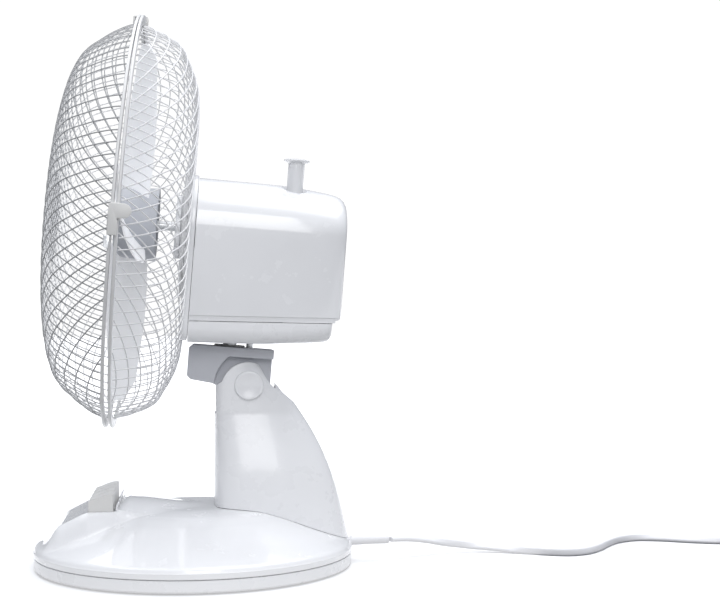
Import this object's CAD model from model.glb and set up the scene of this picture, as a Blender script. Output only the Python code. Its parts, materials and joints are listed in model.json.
"""Looks of an oscillating desk fan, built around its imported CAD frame.

Outlines are in millimetres, in the world frame or in the head's own frame, whose origin is the tilt
pivot and whose X axis is parallel to the motor shaft. Every finished mesh is in metres.
"""

import json
import math

import bmesh
import bpy
from mathutils import Matrix, Vector


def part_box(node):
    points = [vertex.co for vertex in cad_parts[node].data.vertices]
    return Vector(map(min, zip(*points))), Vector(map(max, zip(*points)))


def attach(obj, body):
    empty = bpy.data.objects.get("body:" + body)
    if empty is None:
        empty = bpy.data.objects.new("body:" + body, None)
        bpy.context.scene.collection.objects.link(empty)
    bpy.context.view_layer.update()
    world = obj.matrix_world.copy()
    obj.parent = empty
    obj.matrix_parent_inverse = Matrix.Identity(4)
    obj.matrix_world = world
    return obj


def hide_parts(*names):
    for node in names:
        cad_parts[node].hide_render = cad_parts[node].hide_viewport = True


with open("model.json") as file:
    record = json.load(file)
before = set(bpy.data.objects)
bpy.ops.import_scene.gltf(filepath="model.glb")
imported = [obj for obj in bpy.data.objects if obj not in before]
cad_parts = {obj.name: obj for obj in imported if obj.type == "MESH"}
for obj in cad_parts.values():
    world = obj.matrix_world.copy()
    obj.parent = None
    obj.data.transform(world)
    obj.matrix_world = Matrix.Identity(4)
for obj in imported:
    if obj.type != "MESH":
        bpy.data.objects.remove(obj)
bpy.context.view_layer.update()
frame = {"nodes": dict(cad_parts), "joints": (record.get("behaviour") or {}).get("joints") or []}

# ---- frames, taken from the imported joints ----
MM = 0.001
JOINTS = {joint["name"]: joint for joint in frame["joints"]}
PIVOT = Vector(JOINTS["head_tilt"]["pos_m"])
SHAFT = Vector(JOINTS["blade_spin"]["axis"])
UPRIGHT = Vector(JOINTS["head_oscillation"]["axis"])
SHAFT_POINT = Vector(JOINTS["blade_spin"]["pos_m"])
WORLD = Matrix.Diagonal((MM, MM, MM, 1))
HEAD = Matrix.Translation(PIVOT) @ Matrix((SHAFT, (0, 1, 0), UPRIGHT)).transposed().to_4x4() @ WORLD

# ---- driving dimensions ----
GAP = 0.4
BASE_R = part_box("base_cover")[1].x / MM
PLATE_TOP = 8.6
COVER_WALL = 2.4
CONSOLE_HALF = 36
KEY_PITCH = 17.5
KEY_HALF = 7.6
KEY_COUNT = 4
FOOT_ANGLES = (30, 150, 210, 330)
FEET_R = 84
EAR_OUT = 16.5
LUG_HALF = 9.8
SLOT_BACK = 52
BLOCK_HALF = 16
BLOCK_TOP = 23.7
SWIVEL_X = -14
PIVOT_LINE = (PIVOT.x / MM, 0, PIVOT.z / MM)
AXIS_Z = (SHAFT_POINT - PIVOT).dot(UPRIGHT) / MM
SHAFT_LINE = (0, 0, AXIS_Z)
HOUSING_HALF = 38
HOUSING_ARCH = 33.1
HOUSING_FRONT = -41.7
FLANGE_FRONT = -46.4
KNOB = (19.9, -14)
RIM_R = 133.2
RIM_X = -88.2
WIRE_R = 0.42
BLADE_TIP = 116
BLADE_COUNT = 4
FLEX_WIDTH = 5.2
FLEX_THICK = 3.0

DOME = [(0, 39.5), (30, 39.2), (48, 37.6), (62, 33.4), (78, 26.4), (90, 20.9), (98, 17),
        (101.5, 15), (BASE_R, 12.5)]
PANEL = [(-99.5, 13.5), (-96.5, 17), (-84, 31.5), (-70, 38.4), (-66.5, 39.6), (-50, 39.8),
         (-47, 42.4), (-42, 44.2), (-31, 43.6), (-16, 41.5), (3, 38.9), (14, 36)]
COLUMN_BACK = [(10, 101.2), (17.6, 100.2), (26.1, 98.4), (42.7, 94.4), (58.9, 89.4), (71.7, 84.3),
               (85.3, 77.5), (98.8, 69.1), (111.5, 59.8), (119.2, 51.3), (134, 42)]
COLUMN_HALF = [(10, 32), (60, 27), (92, 18.8), (100, EAR_OUT), (134, EAR_OUT)]
COLUMN_FRONT = 12.8
COLUMN_TOP = COLUMN_BACK[-1][0]
EAR_CENTRE = (33.6, 115.4)
EAR_R = 16.7
BOLT_R = 4.3


# ---- numbers ----
def smooth(table, place):
    """Value of a table of (place, value) pairs along a smooth curve through them."""
    if place <= table[0][0]:
        return table[0][1]
    if place >= table[-1][0]:
        return table[-1][1]
    i = next(k for k in range(len(table) - 1) if place <= table[k + 1][0])
    (x0, y0), (x1, y1) = table[i], table[i + 1]
    slope = (y1 - y0) / (x1 - x0)
    before = slope if i == 0 else (y0 - table[i - 1][1]) / (x0 - table[i - 1][0])
    after = slope if i + 2 == len(table) else (table[i + 2][1] - y1) / (table[i + 2][0] - x1)
    left = 0.0 if before * slope <= 0 else 2 * before * slope / (before + slope)
    right = 0.0 if after * slope <= 0 else 2 * after * slope / (after + slope)
    t = (place - x0) / (x1 - x0)
    h = x1 - x0
    return ((1 + 2 * t) * (1 - t) ** 2 * y0 + t * (1 - t) ** 2 * h * left
            + t * t * (3 - 2 * t) * y1 + t * t * (t - 1) * h * right)


def linear(table, place):
    if place <= table[0][0]:
        return table[0][1]
    for (x0, y0), (x1, y1) in zip(table, table[1:]):
        if place <= x1:
            return y0 + (y1 - y0) * (place - x0) / (x1 - x0)
    return table[-1][1]


def spline(points, steps):
    """A Catmull-Rom curve through the points, with so many steps between each two."""
    points = [Vector(p) for p in points]
    ends = [points[0] * 2 - points[1], *points, points[-1] * 2 - points[-2]]
    made = []
    for a, b, c, d in zip(ends, ends[1:], ends[2:], ends[3:]):
        for k in range(steps):
            t = k / steps
            made.append(0.5 * (2 * b + (c - a) * t + (2 * a - 5 * b + 4 * c - d) * t ** 2
                               + (3 * b - a - 3 * c + d) * t ** 3))
    return [*made, points[-1]]


def arc(centre, radius, start, end, steps):
    return [(centre[0] + radius * math.cos(math.radians(start + (end - start) * i / steps)),
             centre[1] + radius * math.sin(math.radians(start + (end - start) * i / steps)))
            for i in range(steps + 1)]


def eased(points, radius, steps=4, closed=True):
    """A polygon's corners, rounded."""
    made = []
    count = len(points)
    for i, p in enumerate(points):
        if not closed and i in (0, count - 1):
            made.append(tuple(p))
            continue
        p = Vector(p)
        a = Vector(points[i - 1]) - p
        b = Vector(points[(i + 1) % count]) - p
        reach = min(radius, 0.45 * a.length, 0.45 * b.length)
        start, end = p + a.normalized() * reach, p + b.normalized() * reach
        for k in range(steps + 1):
            t = k / steps
            made.append(tuple(start * (1 - t) ** 2 + p * 2 * t * (1 - t) + end * t * t))
    return made


# ---- meshes ----
def add_mesh(name, points, faces, at=WORLD):
    mesh = bpy.data.meshes.new(name)
    mesh.from_pydata([tuple(p) for p in points], [], faces)
    mesh.transform(at)
    work = bmesh.new()
    work.from_mesh(mesh)
    bmesh.ops.remove_doubles(work, verts=work.verts, dist=2e-6)
    bmesh.ops.recalc_face_normals(work, faces=work.faces)
    work.to_mesh(mesh)
    work.free()
    obj = bpy.data.objects.new(name, mesh)
    bpy.context.scene.collection.objects.link(obj)
    return obj


def loft(name, rings, at=WORLD, ends=True, around=True):
    """A skin through rings of equal point count, capped at both ends."""
    count = len(rings[0])
    points = [p for ring in rings for p in ring]
    faces = []
    for i in range(len(rings) - 1):
        for j in range(count if around else count - 1):
            a, b = i * count + j, i * count + (j + 1) % count
            faces.append((a, b, b + count, a + count))
    if ends:
        faces.append(tuple(range(count)))
        faces.append(tuple(range((len(rings) - 1) * count, len(rings) * count)))
    return add_mesh(name, points, faces, at)


AXES = {
    "x": Matrix(((0, 0, 1), (1, 0, 0), (0, 1, 0))),
    "y": Matrix(((0, 1, 0), (0, 0, 1), (1, 0, 0))),
    "z": Matrix.Identity(3),
}


def turned(name, profile, axis="z", centre=(0, 0, 0), at=WORLD, segments=96):
    """A turned piece from (radius, distance along the axis) pairs."""
    turn, centre = AXES[axis], Vector(centre)
    closed = tuple(profile[0]) == tuple(profile[-1])
    rows = profile[:-1] if closed else profile
    points, starts = [], []
    for radius, height in rows:
        starts.append(len(points))
        count = 1 if radius < 1e-6 else segments
        for j in range(count):
            a = math.tau * j / segments
            local = Vector((radius * math.cos(a), radius * math.sin(a), height))
            points.append(centre + turn @ local)
    faces = []
    pairs = list(zip(range(len(rows)), range(1, len(rows)))) + ([(len(rows) - 1, 0)] if closed else [])
    for i, k in pairs:
        for j in range(segments):
            n = (j + 1) % segments
            a = [starts[i]] if rows[i][0] < 1e-6 else [starts[i] + j, starts[i] + n]
            b = [starts[k]] if rows[k][0] < 1e-6 else [starts[k] + n, starts[k] + j]
            if len(a) + len(b) > 2:
                faces.append(tuple(a + b))
    return add_mesh(name, points, faces, at)


def cylinder(radius, low, high, axis, centre=(0, 0, 0), at=WORLD, segments=96):
    """A plain cylinder to cut with."""
    profile = [(0, low), (radius, low), (radius, high), (0, high)]
    return turned("cylinder", profile, axis, centre, at, segments)


def prism(name, outline, axis, low, high, at=WORLD):
    """A prism whose outline is given in the plane square to the axis."""
    def place(u, v, w):
        return {"x": (w, u, v), "y": (u, w, v), "z": (u, v, w)}[axis]
    return loft(name, [[place(u, v, w) for u, v in outline] for w in (low, high)], at)


def block(name, low, high, at=WORLD):
    (x0, y0, z0), (x1, y1, z1) = low, high
    return prism(name, [(x0, y0), (x1, y0), (x1, y1), (x0, y1)], "z", z0, z1, at)


def applied(obj):
    """Makes the object's modifiers part of its mesh."""
    graph = bpy.context.evaluated_depsgraph_get()
    mesh = bpy.data.meshes.new_from_object(obj.evaluated_get(graph))
    old = obj.data
    obj.modifiers.clear()
    obj.data = mesh
    bpy.data.meshes.remove(old)
    return obj


def bevelled(obj, width, steps=3, angle=30):
    tool = obj.modifiers.new("edges", "BEVEL")
    tool.width, tool.segments = width * MM, steps
    tool.limit_method, tool.angle_limit = "ANGLE", math.radians(angle)
    tool.use_clamp_overlap = True
    return applied(obj)


def combine(obj, operation, *others):
    """Boolean of closed meshes; the others are used up."""
    for other in others:
        tool = obj.modifiers.new("cut", "BOOLEAN")
        tool.operation, tool.object, tool.solver = operation, other, "MANIFOLD"
        applied(obj)
        mesh = other.data
        bpy.data.objects.remove(other)
        bpy.data.meshes.remove(mesh)
    return obj


def joined(name, *objs):
    """Several separate meshes as one object."""
    work = bmesh.new()
    for obj in objs:
        work.from_mesh(obj.data)
    mesh = bpy.data.meshes.new(name)
    work.to_mesh(mesh)
    work.free()
    for obj in objs:
        bpy.data.objects.remove(obj)
    whole = bpy.data.objects.new(name, mesh)
    bpy.context.scene.collection.objects.link(whole)
    return whole


def tube_points(line, radius, sides, start=0):
    """Points and faces of a round tube with domed ends along a line."""
    points, faces = [], []
    normal = None
    for i, p in enumerate(line):
        ahead = (line[min(i + 1, len(line) - 1)] - line[max(i - 1, 0)]).normalized()
        if normal is None:
            normal = ahead.orthogonal().normalized()
        normal = (normal - ahead * normal.dot(ahead)).normalized()
        side = ahead.cross(normal)
        for j in range(sides):
            a = math.tau * j / sides
            points.append(p + (normal * math.cos(a) + side * math.sin(a)) * radius)
    for i in range(len(line) - 1):
        for j in range(sides):
            a, b = start + i * sides + j, start + i * sides + (j + 1) % sides
            faces.append((a, b, b + sides, a + sides))
    last = start + (len(line) - 1) * sides
    faces.append(tuple(start + j for j in range(sides)))
    faces.append(tuple(last + j for j in range(sides)))
    return points, faces


def tubes(name, lines, radius, sides=8, at=WORLD):
    points, faces = [], []
    for line in lines:
        more, skin = tube_points([Vector(p) for p in line], radius, sides, len(points))
        points += more
        faces += skin
    return add_mesh(name, points, faces, at)


def shaded(obj, angle=35):
    obj.data.shade_smooth()
    obj.data.set_sharp_from_angle(angle=math.radians(angle))
    return obj


def finished(obj, body, finish, replaces=(), angle=35):
    """Shades a piece, gives it its material and slot, and lets it ride on its body."""
    shaded(obj, angle)
    material, slot = finish
    obj.data.materials.clear()
    obj.data.materials.append(material)
    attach(obj, body)
    if replaces:
        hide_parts(*replaces)
    return obj


# ---- materials ----
class Nodes:
    """A short way to build one material's node tree."""

    def __init__(self, name):
        self.material = bpy.data.materials.new(name)
        self.material.use_nodes = True
        self.tree = self.material.node_tree
        self.shader = self.tree.nodes["Principled BSDF"]
        self.place = self.add("ShaderNodeTexCoord").outputs["Object"]

    def add(self, kind, **settings):
        node = self.tree.nodes.new(kind)
        for key, value in settings.items():
            if key in node.inputs:
                node.inputs[key].default_value = value
            else:
                setattr(node, key, value)
        return node

    def link(self, source, target):
        self.tree.links.new(source, target)

    def feed(self, socket, source):
        self.link(source, self.shader.inputs[socket])

    def hold(self, values):
        for socket, value in values.items():
            self.shader.inputs[socket].default_value = value

    def noise(self, scale, detail=3.0, roughness=0.5):
        node = self.add("ShaderNodeTexNoise", Scale=scale, Detail=detail, Roughness=roughness)
        self.link(self.place, node.inputs["Vector"])
        return node.outputs["Fac"]

    def stretch(self, value, low, high, to_low, to_high):
        node = self.add("ShaderNodeMapRange", **{"From Min": low, "From Max": high,
                                                 "To Min": to_low, "To Max": to_high})
        self.link(value, node.inputs["Value"])
        return node.outputs["Result"]

    def blend(self, share, first, second):
        node = self.add("ShaderNodeMix", data_type="RGBA")
        self.link(share, node.inputs["Factor"])
        for socket, colour in (("A", first), ("B", second)):
            target = next(s for s in node.inputs if s.name == socket and s.type == "RGBA")
            if isinstance(colour, (tuple, list)):
                target.default_value = (*colour[:3], 1)
            else:
                self.link(colour, target)
        return next(s for s in node.outputs if s.type == "RGBA")

    def bump(self, height, depth, strength=1.0, under=None):
        node = self.add("ShaderNodeBump", Strength=strength, Distance=depth * MM)
        self.link(height, node.inputs["Height"])
        if under is not None:
            self.link(under, node.inputs["Normal"])
        return node.outputs["Normal"]


def shade(colour, factor):
    return tuple(min(1.0, c * factor) for c in colour)


def plastic(name, colour, roughness, grain=700, grain_depth=0.012, mottle=0.03, coat=0.0, glow=0.0,
            lit=0.0):
    """Moulded plastic: faint flow mottling, a fine moulded grain and slightly rubbed edges."""
    n = Nodes(name)
    patches = n.stretch(n.noise(18, 4), 0.35, 0.65, 0, 1)
    tint = n.blend(patches, shade(colour, 1 - mottle), shade(colour, 1 + mottle * 0.5))
    edges = n.add("ShaderNodeNewGeometry").outputs["Pointiness"]
    rubbed = n.stretch(edges, 0.52, 0.6, 0, 0.35)
    n.feed("Base Color", n.blend(rubbed, tint, shade(colour, 1.06)))
    n.feed("Roughness", n.stretch(n.noise(45, 5, 0.6), 0.3, 0.7, roughness - 0.04, roughness + 0.05))
    waves = n.bump(n.noise(60, 1), grain_depth * 2.2)
    n.feed("Normal", n.bump(n.noise(grain, 2), grain_depth, under=waves))
    n.hold({"IOR": 1.5, "Coat Weight": coat, "Coat Roughness": 0.06, "Subsurface Weight": glow,
            "Subsurface Radius": (1.0, 1.0, 1.0), "Subsurface Scale": 2 * MM,
            "Emission Color": (1, 1, 1, 1), "Emission Strength": lit})
    return n.material


def wire(name, outside, inside):
    """Dipped wire whose side towards the middle of its guard keeps a cleaner, lighter coat."""
    n = Nodes(name)
    middle = HEAD @ Vector((RIM_X, 0, AXIS_Z))
    away = n.add("ShaderNodeVectorMath", operation="SUBTRACT")
    away.inputs[1].default_value = middle
    n.link(n.place, away.inputs[0])
    facing = n.add("ShaderNodeVectorMath", operation="DOT_PRODUCT")
    n.link(away.outputs["Vector"], facing.inputs[0])
    n.link(n.add("ShaderNodeTexCoord").outputs["Normal"], facing.inputs[1])
    outward = n.stretch(facing.outputs["Value"], -0.02, 0.05, 0, 1)
    coat = n.blend(outward, inside, outside)
    patches = n.stretch(n.noise(90, 4), 0.35, 0.65, 0, 0.08)
    n.feed("Base Color", n.blend(patches, coat, shade(outside, 0.8)))
    n.feed("Roughness", n.stretch(n.noise(400, 3), 0.3, 0.7, 0.28, 0.4))
    n.feed("Normal", n.bump(n.noise(2500, 2), 0.02))
    return n.material


def metal(name, colour, roughness, streaks=(900, 60, 900), depth=0.01, spots=0.15):
    """Machined or pressed metal with drawn streaks and dull spots."""
    n = Nodes(name)
    mapping = n.add("ShaderNodeMapping")
    mapping.inputs["Scale"].default_value = streaks
    n.link(n.place, mapping.inputs["Vector"])
    drawn = n.add("ShaderNodeTexNoise")
    drawn.inputs["Scale"].default_value = 1.0
    drawn.inputs["Detail"].default_value = 4.0
    n.link(mapping.outputs["Vector"], drawn.inputs["Vector"])
    dull = n.stretch(n.noise(120, 5), 0.4, 0.7, 0, 1)
    n.feed("Base Color", n.blend(dull, colour, shade(colour, 1 - spots)))
    n.feed("Roughness", n.stretch(drawn.outputs["Fac"], 0.3, 0.7, roughness - 0.06, roughness + 0.1))
    n.feed("Normal", n.bump(drawn.outputs["Fac"], depth))
    n.shader.inputs["Metallic"].default_value = 1.0
    return n.material


def banded(name, colour, gap_colour, roughness, pitch, direction, depth, metallic):
    """Stacked sheets or laid wire: fine bands at a pitch in millimetres."""
    n = Nodes(name)
    mapping = n.add("ShaderNodeMapping")
    mapping.inputs["Rotation"].default_value = (0, math.asin(-SHAFT.z), 0)
    n.link(n.place, mapping.inputs["Vector"])
    wave = n.add("ShaderNodeTexWave", bands_direction=direction)
    wave.inputs["Scale"].default_value = 1 / (pitch * MM) / 3.2
    wave.inputs["Distortion"].default_value = 0.4
    wave.inputs["Detail Scale"].default_value = 30
    n.link(mapping.outputs["Vector"], wave.inputs["Vector"])
    n.feed("Base Color", n.blend(wave.outputs["Fac"], gap_colour, colour))
    n.feed("Normal", n.bump(wave.outputs["Fac"], depth))
    n.feed("Roughness", n.stretch(n.noise(200, 3), 0.3, 0.7, roughness - 0.05, roughness + 0.1))
    n.shader.inputs["Metallic"].default_value = metallic
    return n.material


WHITE = (plastic("gloss white plastic", (0.82, 0.825, 0.84), 0.24, mottle=0.012, coat=0.9),
         "white_plastic")
COVER = (plastic("satin white plastic", (0.83, 0.835, 0.85), 0.28, mottle=0.012, coat=0.3),
         "white_plastic")
WARM = (plastic("warm grey plastic", (0.70, 0.695, 0.68), 0.42, grain=900, grain_depth=0.02),
        "warm_plastic")
GREY = (plastic("lavender grey plastic", (0.50, 0.51, 0.545), 0.4, grain=900, grain_depth=0.02),
        "grey_plastic")
HUB = (plastic("blue grey plastic", (0.46, 0.475, 0.51), 0.35, mottle=0.03), "grey_plastic")
FROSTED = (plastic("milky plastic", (0.88, 0.89, 0.92), 0.45, mottle=0.02, glow=0.3,
                   lit=0.18), "frosted_plastic")
FRONT_WIRE = (wire("dipped wire, front", (0.36, 0.365, 0.37), (0.92, 0.92, 0.92)), "wire")
REAR_WIRE = (wire("dipped wire, rear", (0.80, 0.80, 0.81), (0.92, 0.92, 0.92)), "wire")
RIM = (plastic("dipped rim", (0.70, 0.70, 0.70), 0.3, grain=2500, grain_depth=0.02, coat=0.2), "wire")
FLEX = (plastic("white soft flex", (0.80, 0.80, 0.82), 0.42, grain=1600, grain_depth=0.01), "cord")
RUBBER = (plastic("dark rubber", (0.09, 0.09, 0.095), 0.8, grain=1800, grain_depth=0.04, mottle=0.15),
          "rubber")
STEEL = (metal("drawn steel", (0.56, 0.57, 0.58), 0.32), "steel")
IRON = (metal("cast iron", (0.16, 0.16, 0.165), 0.62, streaks=(400, 400, 400), depth=0.12, spots=0.3),
        "cast_iron")
BRASS = (metal("bronze bush", (0.62, 0.47, 0.22), 0.35), "brass")
COPPER = (banded("enamelled copper wire", (0.72, 0.30, 0.12), (0.20, 0.07, 0.03), 0.3, 0.6, "X", 0.12, 0.8),
          "copper")
LAMINATED = (banded("stacked core sheets", (0.42, 0.43, 0.45), (0.10, 0.10, 0.11), 0.4, 0.7, "X", 0.06, 1.0),
             "steel")

# ---- camera ----
CAMERA_PLACE = (0, -0.895, 0.1634)
CAMERA_YAW = -6.93
CAMERA_RISE = 0.29
CAMERA_LENS = 67.85


def add_camera():
    data = bpy.data.cameras.new("camera")
    data.lens = CAMERA_LENS
    data.clip_end = 50
    camera = bpy.data.objects.new("camera", data)
    camera.location = CAMERA_PLACE
    camera.rotation_euler = (math.radians(90 + CAMERA_RISE), 0, math.radians(CAMERA_YAW))
    bpy.context.scene.collection.objects.link(camera)
    bpy.context.scene.camera = camera


add_camera()

# ---- mains lead ----
# Route in metres, and how far the flat flex is rolled on its edge at each point, in degrees.
LEAD = [(0.1294, 0, 0.0133, 0), (0.142, 0.005, 0.0124, 0), (0.156, 0.012, 0.0102, 25),
        (0.170, 0.018, 0.0074, 70), (0.184, 0.021, 0.0052, 80), (0.197, 0.0195, 0.0036, 30),
        (0.210, 0.015, 0.0028, 35), (0.224, 0.008, 0.0026, 80), (0.238, 0.001, 0.0026, 90),
        (0.251, -0.0025, 0.0026, 85), (0.264, 0.0015, 0.0026, 75), (0.276, 0.013, 0.0026, 80),
        (0.287, 0.029, 0.0026, 90), (0.299, 0.043, 0.0026, 90), (0.315, 0.051, 0.0026, 70),
        (0.332, 0.048, 0.0026, 40), (0.350, 0.039, 0.0026, 40), (0.370, 0.0315, 0.0026, 60),
        (0.392, 0.0293, 0.0026, 80), (0.4134, 0.0293, 0.0026, 90)]
COIL_TURNS = 7.25
COIL_LAYER = FLEX_WIDTH * MM
COIL_STEPS = 24


def coil_points():
    """The stored turns: inwards on the floor, up inside, and outwards on top of them."""
    low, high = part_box("lead_coil")
    centre = (low + high) / 2
    outer = (high.x - low.x) / 2 - 0.5 * COIL_LAYER - 0.2 * MM
    inner = outer - 3 * COIL_LAYER
    floor = FLEX_WIDTH / 2 * MM
    radii = [(0, outer), (0.25, outer), (3.25, inner), (3.6, inner - 1.4 * MM), (4, inner),
             (7, outer), (COIL_TURNS, outer)]
    heights = [(0, floor), (3.25, floor), (4, floor + COIL_LAYER), (COIL_TURNS, floor + COIL_LAYER)]
    points = []
    for i in range(round(COIL_TURNS * COIL_STEPS) + 1):
        turn = i / COIL_STEPS
        angle = math.tau * (turn - 0.25)
        radius = linear(radii, turn) + 0.25 * MM * math.sin(5.3 * turn)
        points.append((centre.x + radius * math.cos(angle), centre.y + radius * math.sin(angle),
                       smooth(heights, turn), 90))
    return points


def flex_ring(centre, ahead, roll):
    """The oval section of a flat twin flex, with a shallow dent between its two cores."""
    side = Vector((0, 0, 1)).cross(ahead).normalized()
    up = ahead.cross(side)
    wide = side * math.cos(roll) + up * math.sin(roll)
    thick = up * math.cos(roll) - side * math.sin(roll)
    flat = (FLEX_WIDTH - FLEX_THICK) / 2
    ring = []
    for j in range(20):
        a = math.tau * (j + 0.5) / 20
        u = math.copysign(flat, math.cos(a)) + FLEX_THICK / 2 * math.cos(a)
        v = FLEX_THICK / 2 * math.sin(a) * (1 - 0.10 * max(0, 1 - abs(u) / 1.1))
        ring.append(centre + (wide * u + thick * v) * MM)
    return ring


def mains_lead():
    plug_low, plug_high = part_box("mains_plug")
    coil = coil_points()
    last = Vector(coil[-1][:3])
    tail = [(last.x, last.y + 0.012, last.z - 0.0002, 70), (last.x, last.y + 0.024, 0.0074, 30),
            ((plug_low.x + plug_high.x) / 2, plug_low.y + 0.002, 0.0072, 0)]
    lead_part = spline([Vector(p) for p in [*LEAD, coil[0]]], 6)[:-1]
    tail_part = spline([Vector(coil[-1]), *[Vector(p) for p in tail]], 6)[1:]
    line = [*lead_part, *[Vector(p) for p in coil], *tail_part]
    places = [Vector(p[:3]) for p in line]
    rings = []
    for i, p in enumerate(places):
        ahead = (places[min(i + 1, len(places) - 1)] - places[max(i - 1, 0)]).normalized()
        ring = flex_ring(p, ahead, math.radians(line[i][3]))
        below = min(q.z for q in ring)
        if below < 0.1 * MM or (p.z < 2.7 * MM and below > 0.1 * MM):
            shift = Vector((0, 0, 0.1 * MM - below))
            ring = [q + shift for q in ring]
            places[i] = p + shift
        rings.append(ring)
    obj = loft("flex", rings, Matrix.Identity(4))
    finished(obj, "base", FLEX, ["mains_lead", "lead_coil"], angle=60)
    length = sum((b - a).length for a, b in zip(places, places[1:]))
    return obj, places, length


def plug():
    """A flat two-pin plug with a waisted, ribbed grip."""
    low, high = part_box("mains_plug")
    middle = (low.x + high.x) / 2 / MM
    y0, z0, z1 = low.y / MM, low.z / MM, high.z / MM
    body_end = y0 + 33.5
    mid_z, half_z = (z0 + z1) / 2, (z1 - z0) / 2
    halves = [(0, 4.2), (1.2, 5.4), (6, 7.2), (9, 7.9), (13, 8.2), (18, 11), (21, 12.3), (32.3, 12.5),
              (33.5, 11.6)]
    depths = [(0, 3.6), (1.2, 4.6), (6, 5.6), (14, 5.9), (20, 6.7), (32.3, half_z), (33.5, 6.2)]
    rings = []
    steps = 56
    for i in range(steps + 1):
        y = 33.5 * i / steps
        notch = 0.45 if 3.5 < y < 15 and i % 4 < 2 else 0.0
        half, depth = smooth(halves, y) - notch, smooth(depths, y) - notch
        ring = []
        for j in range(32):
            a = math.tau * j / 32
            c, s = math.cos(a), math.sin(a)
            ring.append((middle + math.copysign(half * abs(c) ** 0.55, c), y0 + y,
                         mid_z + math.copysign(depth * abs(s) ** 0.55, s)))
        rings.append(ring)
    body = finished(loft("plug_body", rings), "base", FLEX, ["mains_plug"], angle=50)
    pins = []
    for side in (-1, 1):
        tip = body_end + 18.5
        pin = [(0, body_end - 1), (1.9, body_end - 1), (1.9, body_end + 9), (2.0, body_end + 9.2),
               (2.0, tip - 1.6), (1.7, tip - 0.6), (1.0, tip), (0, tip)]
        pin_obj = turned("plug_pin_%s" % ("left" if side < 0 else "right"), pin, "y",
                         (middle + side * 9.3, 0, mid_z), segments=28)
        finished(pin_obj, "base", STEEL)
        pins.append(pin_obj)
    return body, pins


def coil_tie():
    """A rubber band with a toothed strap round the coil's section."""
    low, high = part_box("coil_tie")
    x0, x1, z0, z1 = low.x / MM + 0.5, high.x / MM - 0.5, low.z / MM + 0.5, high.z / MM - 0.5
    loop = eased([(x0, z0), (x1, z0), (x1, z1), (x0, z1)], 3.2, 6)
    y = (low.y + high.y) / 2 / MM
    rings = []
    count = len(loop)
    for i, (u, v) in enumerate(loop):
        a, b = Vector(loop[i - 1]), Vector(loop[(i + 1) % count])
        out = Vector(((b - a).y, -(b - a).x)).normalized()
        section = eased([(-0.45, -2.5), (0.45, -2.5), (0.45, 2.5), (-0.45, 2.5)], 0.3, 2)
        rings.append([(u + out.x * w, y + t, v + out.y * w) for w, t in section])
    rings.append(rings[0])
    band = loft("coil_strap", rings, ends=False)
    head = bevelled(block("strap_head", (x0 + 7, y - 3.4, z1 - 0.2), (x0 + 13, y + 3.4, z1 + 0.45)), 0.2)
    return finished(joined("coil_strap", band, head), "base", RUBBER, ["coil_tie"], angle=50)


def strain_relief():
    low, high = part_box("strain_relief")
    x0, x1, z = low.x / MM, high.x / MM, (low.z + high.z) / 2 / MM
    profile = [(0, x0), (3.9, x0), (3.9, x0 + 10), (3.2, x0 + 11), (3.2, x0 + 14), (3.0, x0 + 18),
               (2.8, x0 + 24), (2.7, x1 - 1), (2.4, x1 - 0.2), (2.2, x1), (0, x1)]
    return finished(turned("cord_sleeve", profile, "x", (0, 0, z), segments=40), "base", FLEX,
                    ["strain_relief"], angle=30)


flex, flex_path, flex_length = mains_lead()
plug_body, plug_pins = plug()
strap = coil_tie()
strain_relief()


# ---- base ----
def smooth_max(a, b, width):
    share = max(width - abs(a - b), 0) / width
    return max(a, b) + share * share * width / 4


def panel_height(x, y):
    """Top of the control panel and of the ridge behind it, with bevelled and drafted sides."""
    beside = abs(y)
    crown = smooth([(-50, 0), (-40, 5.5)], x) * min(beside / CONSOLE_HALF, 1) ** 2
    bevel = min(max(beside - CONSOLE_HALF, 0), 4) * 1.2
    wall = max(beside - CONSOLE_HALF - 4, 0) * 2.2
    behind = max(x - PANEL[-1][0], 0) * 1.5
    before = max(PANEL[0][0] - x, 0) * 4
    return linear(PANEL, x) - crown - bevel - wall - behind - before


def cover_height(x, y):
    dome = smooth(DOME, min(math.hypot(x, y), BASE_R))
    ridge = panel_height(x, y)
    edge = smooth([(0, 1), (92, 1), (101, 0)], math.hypot(x, y))
    return dome + (smooth_max(dome, ridge, 1.6) - dome) * edge


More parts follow.
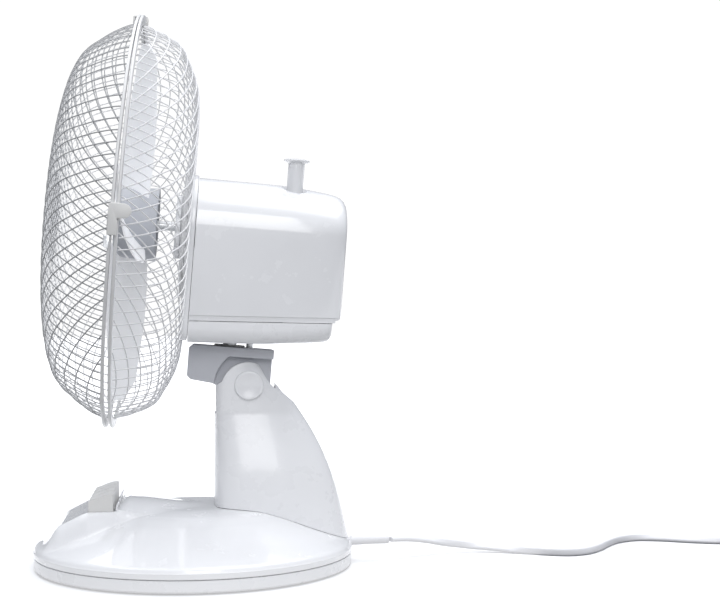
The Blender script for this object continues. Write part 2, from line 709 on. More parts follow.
def base_cover():
    """The one-piece top cover: a shell of even wall over a polar grid."""
    around = 360
    reach = [BASE_R * (i / 84) for i in range(1, 80)]
    reach += [98.2, 99.4, 100.4, 101.2, 101.8, 102.3, 102.7, 102.92, BASE_R]
    points, faces = [(0, 0, cover_height(0, 0))], []
    rings = []

    def ring(height_at, radius, height=None):
        start = len(points)
        for j in range(around):
            a = math.tau * j / around
            x, y = radius * math.cos(a), radius * math.sin(a)
            points.append((x, y, height_at(x, y) if height is None else height))
        rings.append(start)
    for radius in reach:
        ring(cover_height, radius)
    bottom = PLATE_TOP + GAP
    ring(None, BASE_R, bottom + 0.5)
    ring(None, BASE_R - 0.5, bottom)
    inner_wall = BASE_R - COVER_WALL
    ring(None, inner_wall, bottom)
    inside = [r for r in reach if r < inner_wall - 2][::-1]
    for radius in inside[::2]:
        ring(lambda x, y: cover_height(x, y) - COVER_WALL, radius)
    points.append((0, 0, cover_height(0, 0) - COVER_WALL))
    for j in range(around):
        k = (j + 1) % around
        faces.append((0, rings[0] + j, rings[0] + k))
        for a, b in zip(rings, rings[1:]):
            faces.append((a + j, b + j, b + k, a + k))
        faces.append((len(points) - 1, rings[-1] + k, rings[-1] + j))
    cover = add_mesh("base_skin", points, faces)
    for i in range(KEY_COUNT):
        middle = key_y(i)
        half = KEY_HALF + 0.35
        hole = eased([(-66.6, middle - half), (-50.2, middle - half), (-50.2, middle + half),
                      (-66.6, middle + half)], 1.4, 4)
        combine(cover, "DIFFERENCE", prism("key_hole", hole, "z", 22, 60))
    return finished(cover, "base", WHITE, ["base_cover"], angle=32)


def key_y(i):
    return (i - (KEY_COUNT - 1) / 2) * KEY_PITCH


def base_plate():
    r = BASE_R - 0.5
    profile = [(0, 2.3), (96, 2.3), (97, 1.2), (98, 1), (r - 1.5, 1), (r - 0.6, 1.3), (r, 2.2),
               (r, PLATE_TOP - 0.3), (r - 0.3, PLATE_TOP), (BASE_R - 3, PLATE_TOP), (BASE_R - 3, 4.4),
               (0, 4.4)]
    return finished(turned("base_tray", profile, segments=240), "base", COVER, ["base_plate"], angle=32)


def rubber_feet():
    for i, angle in enumerate(FOOT_ANGLES):
        a = math.radians(angle)
        profile = [(0, 0.3), (5, 0.3), (5.4, 0), (6.4, 0), (6.9, 0.5), (7, 1.6), (6.6, 2), (0, 2)]
        foot = turned(f"foot_{i + 1}", profile, "z", (FEET_R * math.cos(a), FEET_R * math.sin(a), 0),
                      segments=40)
        finished(foot, "base", RUBBER, [f"rubber_foot_{i + 1}"])


def keys():
    """Rocker-shaped keys: their tops rise to the rear, and are hollowed for the finger."""
    front, rear = -66.1, -50.7
    top = [(front, 46.9), (-62, 48.3), (-58, 49.9), (-54.5, 51.0), (-52.0, 51.3)]
    for i in range(KEY_COUNT):
        middle = key_y(i)
        rings = []
        for k in range(13):
            side = -1 + k / 6
            y = middle + side * KEY_HALF
            dish = 0.9 * (1 - side * side)
            sink = 0.55 if k in (0, 12) else 0.0
            inset = 0.35 if k in (0, 12) else 0.0
            line = [(x, z - dish - sink) for x, z in top]
            outline = eased([(front + inset, 25.5), *line, (rear - inset, 50.9 - sink - dish * 0.4),
                             (rear - inset, 25.5)], 0.7, 2)
            rings.append([(x, y, z) for x, z in outline])
        key = loft(f"key_cap_{i + 1}", rings)
        finished(key, f"key_{i + 1}", WARM, [f"key_{i + 1}"], angle=40)


def key_fences():
    """Low curved upstands of the cover behind the keys."""
    for i in range(KEY_COUNT):
        middle = key_y(i)
        outline = eased([(-49.6, 38.6), (-49.2, 43.2), (-47.9, 45.4), (-47.2, 45.2), (-48.0, 42.6),
                         (-48.0, 38.6)], 0.5, 3)
        fence = prism(f"key_fence_{i + 1}", outline, "y", middle - 4.6, middle + 4.6)
        finished(bevelled(fence, 0.3, 2, 50), "base", WHITE)


base_cover()
base_plate()
rubber_feet()
keys()
key_fences()


# ---- column ----
def column_middle(z):
    return COLUMN_FRONT + (smooth(COLUMN_BACK, z) - COLUMN_FRONT) * 0.4


def column_point(z, angle):
    front, back = COLUMN_FRONT, smooth(COLUMN_BACK, z)
    half = smooth(COLUMN_HALF, z)
    middle = column_middle(z)
    c, s = math.cos(angle), math.sin(angle)
    power = 2 / 2.3 if c > 0 else 2 / 4
    reach = back - middle if c > 0 else middle - front
    return (middle + math.copysign(reach * abs(c) ** power, c),
            math.copysign(half * abs(s) ** power, s))


def column():
    """The hollow column, from the cover up to its two ears."""
    around, rows = 144, 60
    rings = []
    feet = []
    for j in range(around):
        angle = math.tau * (j + 0.5) / around
        z = 30.0
        for _ in range(30):
            z = 0.5 * z + 0.5 * (cover_height(*column_point(z, angle)) + 0.3)
        feet.append((angle, z))
    for i in range(rows + 1):
        share = i / rows
        ring = []
        for angle, low in feet:
            z = low + (COLUMN_TOP - low) * share
            ring.append((*column_point(z, angle), z))
        rings.append(ring)
    body = loft("column_skin", rings)
    ear = [*arc(EAR_CENTRE, EAR_R, 27, 166, 40), (COLUMN_FRONT, 117), (COLUMN_FRONT - 3, 90),
           (90, 90), (72, 99), (57, 112)]
    ears = bevelled(prism("ear", ear, "y", -EAR_OUT, EAR_OUT), 1.0, 3, 40)
    keep = block("keep", (0, -60, 0), (120, 60, 100))
    slot = block("slot", (0, -LUG_HALF - GAP, 99), (SLOT_BACK, LUG_HALF + GAP, 140))
    combine(keep, "UNION", ears)
    combine(body, "INTERSECT", keep)
    combine(body, "DIFFERENCE", slot)
    inner = loft("hollow", [[(*column_inside(z, math.tau * (j + 0.5) / 48), z) for j in range(48)]
                            for z in (0, 20, 43, 60, 72, 84)])
    combine(body, "DIFFERENCE", inner)
    combine(body, "DIFFERENCE", cylinder(BOLT_R, -40, 40, "y", PIVOT_LINE))
    return finished(body, "base", COVER, ["column"], angle=30)


def column_inside(z, angle):
    x, y = column_point(z, angle)
    middle = column_middle(z)
    shrink = 1 - 3.0 / max(math.hypot(x - middle, y), 1)
    return middle + (x - middle) * shrink, y * shrink


def pivot_caps():
    for name, sign in (("near", -1), ("far", 1)):
        face = sign * (EAR_OUT + 0.15)
        flat = sign * (EAR_OUT + 2)
        profile = [(0, face), (9.4, face), (9.45, face + sign * 0.9), (9.2, flat - sign * 0.35),
                   (8.6, flat), (7.6, flat - sign * 0.02), (7.2, flat - sign * 0.25), (0, flat - sign * 0.3)]
        cap = turned(f"bolt_cap_{name}", profile, "y", PIVOT_LINE, segments=72)
        finished(cap, "base", COVER, [f"pivot_cap_{name}"], angle=40)


column()
pivot_caps()


# ---- tilt block ----
def tilt_block():
    recess = arc((0, 0), 22.4, 180, 128, 16)
    wide = [(-40.3, 3.5), (-37.8, 1.2), (-23, -0.4), *recess, (14.6, 17.65), (14.6, BLOCK_TOP),
            (-37.5, BLOCK_TOP), (-40.3, 21)]
    lug = [*arc((0, 0), 14, 180, 360, 40), (14, 20), (-14, 20)]
    whole = bevelled(prism("tilt_head", wide, "y", -BLOCK_HALF, BLOCK_HALF, HEAD), 0.9, 3, 35)
    tongue = bevelled(prism("tongue", lug, "y", -LUG_HALF, LUG_HALF, HEAD), 0.5, 2, 35)
    foot = [(-24.5, -0.4), (-8, -6), (-8, 20), (-24.5, 20)]
    heel = prism("heel", foot, "y", -LUG_HALF, LUG_HALF, HEAD)
    combine(whole, "UNION", tongue, heel)
    bolt = cylinder(BOLT_R, -30, 30, "y", at=HEAD, segments=48)
    post = cylinder(7, 9, 30, "z", (SWIVEL_X, 0, 0), HEAD, 48)
    pin = cylinder(2.5, 16, 30, "z", (-1, 0, 0), HEAD, 32)
    combine(whole, "DIFFERENCE", bolt, post, pin)
    return finished(whole, "tilt_block", GREY, ["tilt_block"], angle=32)


tilt_block()

# ---- motor housing ----
HOUSING_SHAPE = [(HOUSING_FRONT, 0), (12, 0.4), (30, 1.8), (42, 3.2), (48, 4.4), (50.8, 5.6),
                 (52.8, 7.4), (54.1, 9.6), (54.6, 12.2)]
LOWER_SHAPE = [(HOUSING_FRONT, 37.4, 25.2), (0, 37.4, 27.1), (34, 36.8, 30.2), (45, 35.8, 31.7),
               (47.6, 34.9, 32.6), (48.9, 33.8, 33.8), (49.3, 32.4, 35.6)]
SEAM_FRONT = 38.9
SEAM_RISE = 0.055
HOUSING_WALL = 2.2
BAND_HEIGHT = 3.4
BAND_DEPTH = 0.7


def seam_height(x):
    return SEAM_FRONT + (x - HOUSING_FRONT) * SEAM_RISE


def housing_ring(x, inset, inward=0.0):
    """Section of the upper housing square to the shaft: a recessed band, upright sides, an arch."""
    half = HOUSING_HALF - inset * 0.7 - inward
    rise = HOUSING_ARCH - inset - inward
    low = seam_height(x)
    band = 0.0 if inward else BAND_DEPTH
    top = low + BAND_HEIGHT
    ring = [(x, half - band, low), (x, half - band, top - 0.4), (x, half, top)]
    sides = [top + (AXIS_Z - top) * k / 10 for k in range(1, 10)]
    ring += [(x, half, z) for z in sides]
    ring += [(x, half * math.cos(math.pi * i / 48), AXIS_Z + rise * math.sin(math.pi * i / 48))
             for i in range(49)]
    ring += [(x, -half, z) for z in reversed(sides)]
    ring += [(x, -half, top), (x, band - half, top - 0.4), (x, band - half, low)]
    return ring


def open_shell(name, outer, inner, at):
    """A shell open along the edge of its rings, with its rear end closed: outer and inner skins."""
    rows, count = len(outer), len(outer[0])
    points = [p for ring in [*outer, *inner] for p in ring]
    shift = rows * count
    faces = []
    for i in range(rows - 1):
        for j in range(count - 1):
            a = i * count + j
            faces.append((a, a + 1, a + count + 1, a + count))
            faces.append((shift + a, shift + a + count, shift + a + count + 1, shift + a + 1))
        for j in (0, count - 1):
            a = i * count + j
            faces.append((a, a + count, shift + a + count, shift + a))
    for j in range(count - 1):
        faces.append((j, shift + j, shift + j + 1, j + 1))
    last = (rows - 1) * count
    half = count // 2
    for start in (last, shift + last):
        for j in range(half):
            k = count - 1 - j
            if k - 1 > j:
                faces.append((start + j, start + j + 1, start + k - 1, start + k))
    faces.append((last, last + count - 1, shift + last + count - 1, shift + last))
    return add_mesh(name, points, faces, at)


def refined(shape, step):
    """The rows of a table of (place, values...) again, with more of them along smooth curves."""
    places = []
    for row, after in zip(shape, shape[1:]):
        parts = max(1, math.ceil((after[0] - row[0]) / step))
        places += [row[0] + (after[0] - row[0]) * k / parts for k in range(parts)]
    places.append(shape[-1][0])
    tables = [[(row[0], row[k]) for row in shape] for k in range(1, len(shape[0]))]
    return [(x, *[smooth(table, x) for table in tables]) for x in places]


def behind_wall(x):
    """Where the inner skin's ring for x lies: the open front keeps its place."""
    wall = HOUSING_WALL
    return x - (wall if x > 40 else wall * max(0, x) / 40)


def motor_housing():
    shape = refined(HOUSING_SHAPE, 3.0)
    outer = [housing_ring(x, inset) for x, inset in shape]
    inner = [housing_ring(behind_wall(x), inset, HOUSING_WALL) for x, inset in shape]
    shell = open_shell("housing_skin", outer, inner, HEAD)
    dish = [(0, 125.6), (6.2, 125.6), (6.8, 125.9), (10.2, 133), (10.2, 140), (0, 140)]
    under = [(0, 122.4), (9, 122.4), (11.4, 125.5), (11.4, 132), (0, 132)]
    knob = (*KNOB, 0)
    boss = turned("boss", under, "z", knob, HEAD, 64)
    combine(boss, "INTERSECT", loft("whole", outer, HEAD))
    combine(shell, "UNION", boss)
    combine(shell, "DIFFERENCE", turned("dish", dish, "z", knob, HEAD, 64),
            cylinder(5.7, 100, 150, "z", knob, HEAD, 64))
    corner = [(60, 40), (60, 49.1), *arc((51, 49.1), 3.6, 0, -90, 10), (51, 40)]
    combine(shell, "DIFFERENCE", prism("corner", corner, "y", -60, 60, HEAD))
    return finished(shell, "head", WHITE, ["motor_housing"], angle=32)


def lower_ring(x, half, bottom, inward=0.0):
    radius = 9 - inward
    half, bottom = half - inward, bottom + inward
    top = seam_height(x) - GAP
    right = arc((half - radius, bottom + radius), radius, 0, -90, 8)
    left = arc((radius - half, bottom + radius), radius, 270, 180, 8)
    return [(x, y, z) for y, z in [(half, top), *right, (0, bottom), *left, (-half, top)]]


def lower_cover():
    shape = refined(LOWER_SHAPE, 4.0)
    outer = [lower_ring(x, half, bottom) for x, half, bottom in shape]
    inner = [lower_ring(behind_wall(x), half, bottom, HOUSING_WALL) for x, half, bottom in shape]
    shell = open_shell("housing_pan", outer, inner, HEAD)
    combine(shell, "DIFFERENCE", cylinder(17, 15, 40, "z", (SWIVEL_X, 0, 0), HEAD, 72))
    return finished(shell, "head", COVER, ["housing_lower_cover"], angle=32)


def front_flange():
    half, rise = HOUSING_HALF + 1.5, HOUSING_ARCH + 1.5
    dome = [(half * math.cos(math.pi * i / 64), AXIS_Z + rise * math.sin(math.pi * i / 64))
            for i in range(65)]
    foot = [*arc((8 - half, 34), 8, 180, 270, 10), *arc((half - 8, 34), 8, 270, 360, 10)]
    plate = prism("housing_front", [*dome, *foot], "x", FLANGE_FRONT, HOUSING_FRONT - GAP, HEAD)
    bevelled(plate, 0.9, 3, 40)
    combine(plate, "DIFFERENCE", cylinder(14, -60, -30, "x", SHAFT_LINE, HEAD, 64))
    return finished(plate, "head", WHITE, ["front_flange"], angle=35)


def knob():
    top = 148.3
    profile = [(0, 112.4), (2.8, 112.4), (2.8, 121), (4.9, 121), (5.3, 121.5), (5.3, top - 3.2),
               (5.6, top - 2.4), (7.6, top - 1.9), (8.3, top - 1.5), (8.5, top - 0.9),
               (8.2, top - 0.35), (7.2, top - 0.1),
               (5.6, top - 0.35), (0, top - 0.5)]
    piece = turned("knob_skin", profile, "z", (*KNOB, 0), HEAD, 72)
    return finished(piece, "knob", WHITE, ["oscillation_knob"], angle=40)


motor_housing()
lower_cover()
front_flange()
knob()


# ---- guards ----
# Basket profiles: (radius, distance from the rim plane), from the rim to the middle.
FRONT_DOME = [(127.3, 0), (125.8, 6.5), (121.8, 14.5), (116.5, 22.2), (108, 32.4), (98, 38.2),
              (86, 41.9), (70, 44.7), (50, 45.7), (30, 46), (0, 46.1)]
REAR_DOME = [(127.0, 3.2), (126.3, 5), (123.5, 13.8), (119.5, 22.5), (115, 29), (107, 33.5),
             (99, 37.5), (90, 40.5), (80, 42), (65, 42.5), (48, 41.5), (40, 39.8), (0, 39.6)]
# Planes that the baskets' depths are counted from.
REAR_PLANE = -88.0
FRONT_PLANE = -85.5
RIM_SEAM = -86.0
# The front guard hangs from the hook at the top and stands slightly open at the bottom.
HINGE = Vector((RIM_X, 0, AXIS_Z + RIM_R))
OPENING = 0.5
OPENED = (HEAD @ Matrix.Translation(HINGE) @ Matrix.Rotation(math.radians(OPENING), 4, "Y")
          @ Matrix.Translation(-HINGE))
NET_CELL = (9.0, 7.6)
NET_ANGLE = 60
NET_TURN = -36
HUB_PLATE_R = 44


class Dome:
    """A basket's surface, unrolled: (p, q) is arc length from the middle times direction."""

    def __init__(self, table):
        line = spline([Vector((r, d)) for r, d in table[::-1]], 8)
        self.line = [(abs(p.x), p.y) for p in line]
        self.length = [0.0]
        for a, b in zip(self.line, self.line[1:]):
            self.length.append(self.length[-1] + math.hypot(b[0] - a[0], b[1] - a[1]))
        self.full = self.length[-1]

    def at(self, length):
        if length >= self.full:
            return self.line[-1][0], self.line[-1][1] - (length - self.full)
        low, high = 0, len(self.length) - 1
        while high - low > 1:
            middle = (low + high) // 2
            low, high = (middle, high) if self.length[middle] <= length else (low, middle)
        t = (length - self.length[low]) / (self.length[high] - self.length[low])
        (r0, d0), (r1, d1) = self.line[low], self.line[high]
        return r0 + (r1 - r0) * t, d0 + (d1 - d0) * t

    def point(self, p, q):
        length = math.hypot(p, q)
        radius, depth = self.at(length)
        if length < 1e-9:
            return 0.0, 0.0, depth
        return radius * p / length, radius * q / length, depth

    def normal(self, p, q):
        length = max(math.hypot(p, q), 1e-6)
        (r0, d0), (r1, d1) = self.at(max(length - 0.5, 0)), self.at(length + 0.5)
        away = Vector((r1 - r0, d1 - d0)).normalized()
        return Vector((-away.y * p / length, -away.y * q / length, away.x))

    def walk(self, length, side):
        """Arc length at which the straight distance from this one is side."""
        here = self.point(length, 0)
        low, high = length, length + 2 * side
        for _ in range(30):
            middle = (low + high) / 2
            if math.dist(self.point(middle, 0), here) < side:
                low = middle
            else:
                high = middle
        return low


def net_corner(dome, first, second, near, cell_a, cell_b):
    """The node that lies cell_a from first and cell_b from second, on the far side from near."""
    a, b = dome.point(*first), dome.point(*second)
    p, q = first[0] + second[0] - near[0], first[1] + second[1] - near[1]
    step = 1e-4
    for _ in range(25):
        def miss(u, v):
            place = dome.point(u, v)
            return math.dist(place, a) - cell_a, math.dist(place, b) - cell_b
        f, g = miss(p, q)
        fu, gu = miss(p + step, q)
        fv, gv = miss(p, q + step)
        a11, a12, a21, a22 = (fu - f) / step, (fv - f) / step, (gu - g) / step, (gv - g) / step
        size = a11 * a22 - a12 * a21
        if abs(size) < 1e-12:
            return None
        du, dv = (-f * a22 + g * a12) / size, (-g * a11 + f * a21) / size
        far = math.hypot(du, dv)
        if far > cell_a / 2:
            du, dv = du * cell_a / 2 / far, dv * cell_a / 2 / far
        p, q = p + du, q + dv
        if far < 1e-6:
            return p, q
    return None


def net_sector(dome, cell_a, cell_b, angle, count):
    """Nodes of a net of equal cells draped between two straight wires that cross in the middle."""
    c, s = math.cos(math.radians(angle)), math.sin(math.radians(angle))
    nodes = {(0, 0): (0.0, 0.0)}
    a = b = 0.0
    for i in range(1, count + 1):
        a, b = dome.walk(a, cell_a), dome.walk(b, cell_b)
        nodes[(i, 0)], nodes[(0, i)] = (a, 0.0), (b * c, b * s)
    limit = dome.full + 3 * max(cell_a, cell_b)
    for i in range(1, count + 1):
        for j in range(1, count + 1):
            first, second, near = nodes.get((i - 1, j)), nodes.get((i, j - 1)), nodes.get((i - 1, j - 1))
            if None in (first, second, near) or min(math.hypot(*first), math.hypot(*second)) > limit:
                continue
            found = net_corner(dome, first, second, near, cell_a, cell_b)
            if found:
                nodes[(i, j)] = found
    return nodes


def net(dome):
    """All nodes of the net, by the number of the wire of each family."""
    cell_a, cell_b = NET_CELL
    count = int(dome.full * 1.5 / min(NET_CELL)) + 2
    c, s = math.cos(math.radians(NET_ANGLE)), math.sin(math.radians(NET_ANGLE))
    nodes = {}
    for (i, j), (p, q) in net_sector(dome, cell_a, cell_b, NET_ANGLE, count).items():
        nodes[(i, j)], nodes[(-i, -j)] = (p, q), (-p, -q)
    for (i, j), (p, q) in net_sector(dome, cell_b, cell_a, 180 - NET_ANGLE, count).items():
        nodes[(-j, i)], nodes[(j, -i)] = (p * c - q * s, p * s + q * c), (-p * c + q * s, -p * s - q * c)
    return nodes, count


def net_wires(table, sign, hole):
    """Lines of both families in the head frame. sign is -1 for the front basket and 1 for the rear one."""
    dome = Dome(table)
    nodes, count = net(dome)
    turn = math.radians(NET_TURN)
    plane = FRONT_PLANE if sign < 0 else REAR_PLANE
    families = []
    for family in (0, 1):
        lift = WIRE_R * (0.72 if family == 0 else -0.72)
        lines = []
        for i in range(-count, count + 1):
            row = [nodes.get((i, j) if family == 0 else (j, i)) for j in range(-count, count + 1)]
            run = []
            for node in [*row, None]:
                if node is not None:
                    run.append(node)
                    continue
                if len(run) > 2:
                    lines += inside_runs(dome, spline([Vector(p) for p in run], 3), hole)
                run = []
        placed = []
        for line in lines:
            made = []
            for p, q in line:
                place = Vector(dome.point(p, q)) + dome.normal(p, q) * lift
                angle = math.atan2(place.y, place.x) * -sign + turn * -sign
                radius = math.hypot(place.x, place.y)
                made.append((plane + sign * place.z, -radius * math.cos(angle),
                             AXIS_Z + radius * math.sin(angle)))
            placed.append(made)
        families.append(placed)
    return families


def inside_runs(dome, line, hole):
    """The parts of a line between the hole in the middle and the rim."""
    limit = dome.full - 1.2
    runs, run = [], []

    def ok(p):
        return hole <= math.hypot(p[0], p[1]) <= limit
    for a, b in zip(line, line[1:]):
        if ok(a) and not run:
            run = [a]
        if ok(a) != ok(b):
            low, high = (a, b) if ok(a) else (b, a)
            for _ in range(20):
                middle = (low + high) / 2
                low, high = (middle, high) if ok(middle) else (low, middle)
            if ok(a):
                run.append(low)
                runs.append(run)
                run = []
            else:
                run = [low]
        if ok(b):
            run.append(b)
    runs.append(run)
    return [[(p[0], p[1]) for p in r] for r in runs if len(r) > 2 and (r[-1] - r[0]).length > 4]


def rim_ring(name, low, high, at):
    section = eased([(RIM_R - 6, low), (RIM_R, low), (RIM_R, high), (RIM_R - 6, high)], 0.7, 4)
    ring = turned(name, [*section, section[0]], "x", SHAFT_LINE, at, 240)
    return finished(ring, "head", RIM, angle=50)


def guards():
    baskets = (("front", FRONT_DOME, -1, 0.0, OPENED, FRONT_WIRE),
               ("rear", REAR_DOME, 1, HUB_PLATE_R - 2, HEAD, REAR_WIRE))
    for name, table, sign, hole, at, finish in baskets:
        outer, inner = net_wires(table, sign, hole)
        for layer, lines in (("outer", outer), ("inner", inner)):
            wires = tubes(f"{name}_wires_{layer}", lines, WIRE_R, 8, at)
            stands_for = [f"{name}_guard"] if layer == "outer" else ()
            finished(wires, "head", finish, stands_for, angle=60)
    rim_ring("front_rim", RIM_SEAM - 2.0, RIM_SEAM - 0.15, OPENED)
    rim_ring("rear_rim", RIM_SEAM + 0.15, RIM_SEAM + 2.0, HEAD)


def rear_plate():
    """The pressed plate in the middle of the rear guard that sits on the motor's nose."""
    front, back = REAR_PLANE + 38.4, REAR_PLANE + 40.2
    profile = eased([(15, front), (24, front), (27, front - 1.2), (38, front - 1.2), (41, front),
                     (HUB_PLATE_R, front - 0.4), (HUB_PLATE_R + 1.6, back - 1.4), (HUB_PLATE_R, back + 0.4),
                     (40, back), (37, back - 1.0), (27, back - 1.0), (24, back), (15, back)], 0.8, 3)
    plate = turned("rear_guard_plate", [*profile, profile[0]], "x", SHAFT_LINE, HEAD, 120)
    return finished(plate, "head", RIM, angle=40)


def badge():
    """A plain domed badge with two rings."""
    low, top = -132.2, -134.3
    profile = [(0, low), (29.6, low), (30, low - 0.4), (30, low - 1.0), (29, low - 1.5), (26.4, top + 0.35),
               (25.8, top + 0.75), (24.6, top + 0.75), (24.0, top + 0.4), (12, top + 0.05), (0, top)]
    disc = turned("badge_skin", profile, "x", SHAFT_LINE, OPENED, 120)
    return finished(disc, "head", WHITE, ["guard_badge"], angle=35)


def guard_nut():
    """The ring nut that holds the rear guard, with finger lobes."""
    low, high = -55.0, -51.4
    rings = []
    for x, grow in ((low, -0.5), (low + 0.5, 0), (high - 0.5, 0), (high, -0.5)):
        outer = []
        for j in range(144):
            a = math.tau * j / 144
            radius = 19.4 + 1.5 * (0.5 + 0.5 * math.cos(12 * a)) ** 0.5 + grow
            outer.append((x, radius * math.cos(a), AXIS_Z + radius * math.sin(a)))
        rings.append(outer)
    nut = loft("nut_skin", rings, HEAD)
    combine(nut, "DIFFERENCE", cylinder(13.3, -60, -50, "x", SHAFT_LINE, HEAD, 72))
    return finished(nut, "head", WHITE, ["guard_nut"], angle=40)


def top_hook():
    """The hook at the top of the front rim that the rear rim snaps under."""
    top = AXIS_Z + RIM_R
    outline = eased([(-92.6, top - 3.8), (-91.4, top - 3.8), (-91.4, top + 0.3), (-84.4, top + 0.3),
                     (-84.4, top - 4.4), (-83.0, top - 4.4), (-83.0, top + 0.6), (-83.6, top + 1.2),
                     (-92.0, top + 1.2), (-92.6, top + 0.6)], 0.35, 2)
    hook = bevelled(prism("hook_skin", outline, "y", -4, 4, HEAD), 0.3, 2, 50)
    return finished(hook, "head", WARM, ["top_hook"], angle=40)


def side_clips():
    """Flat spring clips with a rounded tab, a lip before the rims and one behind them."""
    plate = [(-89.9, 83.2), (-84.6, 83.2), (-84.6, 91.6), (-85.1, 92.2), (-84.6, 92.8),
             (-80.6, 92.9), (-78.6, 94), (-77.4, 95.6), (-77.1, 97), (-77.5, 98.8), (-78.9, 100.4),
             (-81.2, 101.2), (-88.6, 101.2), (-89.2, 100.6)]
    for name, sign in (("near", -1), ("far", 1)):
        low, high = sorted((sign * (RIM_R + GAP), sign * (RIM_R + 2.2)))
        clip = bevelled(prism("clip", plate, "y", low, high, HEAD), 0.45, 2, 40)
        lip_low, lip_high = sorted((sign * (RIM_R + 1.6), sign * 129.5))
        front = bevelled(block("lip", (-90.0, lip_low, 83.6), (-88.9, lip_high, 101), HEAD), 0.35, 2)
        rear = bevelled(block("lip", (-84.6, lip_low, 92.4), (-83, lip_high, 101), HEAD), 0.35, 2)
        combine(clip, "UNION", front, rear)
        clip.name = f"clip_skin_{name}"
        finished(clip, f"guard_clip_{name}", WARM, [f"guard_clip_{name}"], angle=40)
        hinge_low, hinge_high = sorted((sign * (RIM_R + 0.2), sign * (RIM_R + 1.8)))
        leaf = eased([(-91.2, 76.2), (-88.6, 75.8), (-87.9, 82.9), (-91.6, 82.9)], 0.5, 3)
        lever = bevelled(prism(f"clip_lever_{name}", leaf, "y", hinge_low, hinge_high, HEAD), 0.3, 2, 50)
        finished(lever, f"guard_clip_{name}", STEEL, angle=40)


guards()
rear_plate()
badge()
guard_nut()
top_hook()
side_clips()


# ---- rotor ----
def blade_point(radius, t, edge):
    share = (radius - 18) / (BLADE_TIP - 18)
    half = 22 + 10 * math.sin(math.pi * min(share * 0.8, 0.62))
    pitch = math.radians(33 - 18 * share)
    bow = 5 * (1 - t * t)
    across = t * half
    axial = -across * math.sin(pitch) - (bow + edge) * math.cos(pitch)
    around = across * math.cos(pitch) - (bow + edge) * math.sin(pitch) * 0.4
    angle = around / radius
    reach = radius - max(0, abs(t) - 0.4) ** 1.6 * 22 * share ** 2
    return Vector((3 * share - 84 + axial * 0.86, reach * math.sin(angle), reach * math.cos(angle)))


def blade_ring(radius, thick):
    steps = 18
    ring = []
    for side, order in ((1, range(steps + 1)), (-1, range(steps, -1, -1))):
        for k in order:
            t = -1 + 2 * k / steps
            edge = side * thick * math.sqrt(max(0.06, 1 - abs(t) ** 6))
            ring.append(blade_point(radius, t, edge))
    return ring


def fan_blade():
    section = eased([(3.4, -94), (19, -94), (22.5, -90), (24, -66.5), (22, -66.5), (20.5, -88),
                     (7, -90.5), (7, -68), (3.4, -68)], 1.2, 3)
    lifted = Matrix.Translation((0, 0, AXIS_Z))
    hub = turned("hub_skin", [*section, section[0]], "x", SHAFT_LINE, HEAD, 96)
    finished(hub, "rotor", HUB, angle=40)
    blades = []
    radii = [21.8 + (BLADE_TIP - 21.8) * (1 - (1 - k / 22) ** 1.25) for k in range(23)]
    for i in range(BLADE_COUNT):
        turn = lifted @ Matrix.Rotation(math.tau * i / BLADE_COUNT, 4, "X")
        rings = [[turn @ p for p in blade_ring(r, 0.95 - 0.3 * k / 22)] for k, r in enumerate(radii)]
        blade = loft("blade", rings, HEAD)
        core = cylinder(22.3, -100, -60, "x", SHAFT_LINE, HEAD)
        blades.append(combine(blade, "DIFFERENCE", core))
    return finished(joined("blade_skin", *blades), "rotor", FROSTED, ["fan_blade"], angle=40)


def blade_nut():
    rings = []
    for x, base in ((-99, 7.6), (-98.2, 8.4), (-95, 8.9), (-94.5, 8.6)):
        ring = []
        for j in range(96):
            radius = base - 0.5 * (j % 4 == 0)
            a = math.tau * j / 96
            ring.append((x, radius * math.cos(a), AXIS_Z + radius * math.sin(a)))
        rings.append(ring)
    nut = loft("spinner_skin", rings, HEAD)
    combine(nut, "DIFFERENCE", cylinder(3.4, -101, -94, "x", SHAFT_LINE, HEAD, 48))
    return finished(nut, "rotor", WARM, ["blade_nut"], angle=30)


fan_blade()
blade_nut()

# ---- carried-over CAD pieces get their finishes ----
CARRIED = {
    "steel": (STEEL, ["base_screw_1", "base_screw_2", "base_screw_3", "column_screw_1", "column_screw_2",
                      "pivot_bolt", "crank_pin", "front_bracket", "rear_bracket", "motor_bolt_1",
                      "motor_bolt_2", "swivel_cradle", "swivel_post", "motor_shaft", "link_arm"]),
    "iron": (IRON, ["ballast_weight"]),
    "brass": (BRASS, ["front_bush", "rear_bush"]),
    "copper": (COPPER, ["front_winding", "rear_winding"]),
    "sheets": (LAMINATED, ["stator_core", "rotor_core"]),
    "warm": (WARM, ["switch_block", "cord_clamp", "swivel_bush", "gearbox_case", "worm_wheel",
                    "crank_disc"]),
}
for (material, _), names in CARRIED.values():
    for name in names:
        mesh = frame["nodes"][name].data
        mesh.materials.clear()
        mesh.materials.append(material)


# ---- studio ----
STRIP_LOW = Vector((0.12, -1.3, 0.40))
STRIP_HIGH = Vector((0.12, -0.95, 1.10))
STRIP_WIDTH = 0.5
STRIP_POWER = 5.0
TOP_PLACE = (0.1, 0.25, 1.9)
TOP_TARGET = (0.05, 0.0, 0.0)
TOP_SIZE = (2.6, 2.2)
TOP_POWER = 32
PAPER_HALF = 9
CARD_R = 230
WHITE_LIGHT = (1, 1, 1, 1)


def area_light(name, place, target, size, power):
    data = bpy.data.lights.new(name, "AREA")
    data.shape = "RECTANGLE"
    data.size, data.size_y = size
    data.energy = power
    light = bpy.data.objects.new(name, data)
    light.location = place
    light.rotation_mode = "QUATERNION"
    light.rotation_quaternion = (Vector(target) - Vector(place)).to_track_quat("-Z", "Y")
    bpy.context.scene.collection.objects.link(light)
    return light


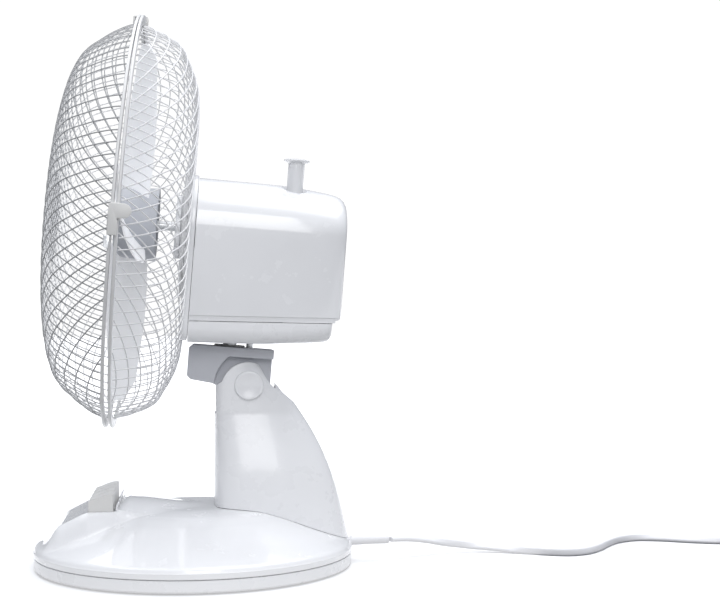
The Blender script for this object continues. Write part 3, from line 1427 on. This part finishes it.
def softboxes():
    """A leaning strip before the fan, and a broad box over it."""
    run = STRIP_HIGH - STRIP_LOW
    middle = (STRIP_LOW + STRIP_HIGH) / 2
    strip = area_light("strip softbox", middle, (0, 0, 0), (STRIP_WIDTH, run.length), STRIP_POWER)
    strip.rotation_quaternion = Vector((0, run.z, -run.y)).to_track_quat("-Z", "Y")
    area_light("top softbox", TOP_PLACE, TOP_TARGET, TOP_SIZE, TOP_POWER)


def sky():
    """Soft light that is stronger from above, behind a plain white backdrop."""
    world = bpy.data.worlds.new("studio")
    bpy.context.scene.world = world
    world.use_nodes = True
    tree = world.node_tree
    ambient = tree.nodes["Background"]
    ambient.inputs["Color"].default_value = (0.90, 0.93, 1.0, 1)
    direction = tree.nodes.new("ShaderNodeTexCoord")
    height = tree.nodes.new("ShaderNodeSeparateXYZ")
    from_above = tree.nodes.new("ShaderNodeMapRange")
    for socket, value in (("From Min", -0.4), ("From Max", 0.9), ("To Min", 0.12), ("To Max", 0.95)):
        from_above.inputs[socket].default_value = value
    backdrop = tree.nodes.new("ShaderNodeBackground")
    backdrop.inputs["Color"].default_value = WHITE_LIGHT
    backdrop.inputs["Strength"].default_value = 1.05
    path = tree.nodes.new("ShaderNodeLightPath")
    mix = tree.nodes.new("ShaderNodeMixShader")
    for source, target in ((direction.outputs["Generated"], height.inputs[0]),
                           (height.outputs["Z"], from_above.inputs["Value"]),
                           (from_above.outputs["Result"], ambient.inputs["Strength"]),
                           (path.outputs["Is Camera Ray"], mix.inputs[0]),
                           (ambient.outputs[0], mix.inputs[1]),
                           (backdrop.outputs[0], mix.inputs[2]),
                           (mix.outputs[0], tree.nodes["World Output"].inputs["Surface"])):
        tree.links.new(source, target)


def paper_sweep():
    """White paper under the fan, which glows into the backdrop further out."""
    paper = Nodes("white paper sweep")
    paper.feed("Roughness", paper.stretch(paper.noise(3, 2), 0, 1, 0.85, 0.95))
    paper.hold({"Base Color": (0.93, 0.93, 0.93, 1), "Specular IOR Level": 0.0,
                "Emission Color": WHITE_LIGHT})
    away = paper.add("ShaderNodeVectorMath", operation="LENGTH")
    paper.link(paper.place, away.inputs[0])
    paper.feed("Emission Strength", paper.stretch(away.outputs["Value"], 0.5, 2.2, 0.0, 0.9))
    half = PAPER_HALF
    floor = add_mesh("floor", [(-half, -half, 0), (half, -half, 0), (half, half, 0), (-half, half, 0)],
                     [(0, 1, 2, 3)], Matrix.Identity(4))
    floor.data.materials.append(paper.material)
    floor.visible_diffuse = False


def bounce_card():
    """A glowing disc under the fan: light off the table, seen by dull surfaces only."""
    glow = Nodes("bounce card")
    glow.hold({"Base Color": (0, 0, 0, 1), "Emission Color": WHITE_LIGHT})
    glow.feed("Emission Strength", glow.stretch(glow.noise(3, 2), 0, 1, 0.6, 0.75))
    card = turned("card", [(0, -3), (CARD_R, -3), (CARD_R, -2), (0, -2)], segments=64)
    card.data.materials.append(glow.material)
    card.visible_camera = False
    card.visible_glossy = False


softboxes()
sky()
paper_sweep()
bounce_card()
bpy.context.scene.view_settings.view_transform = "Standard"
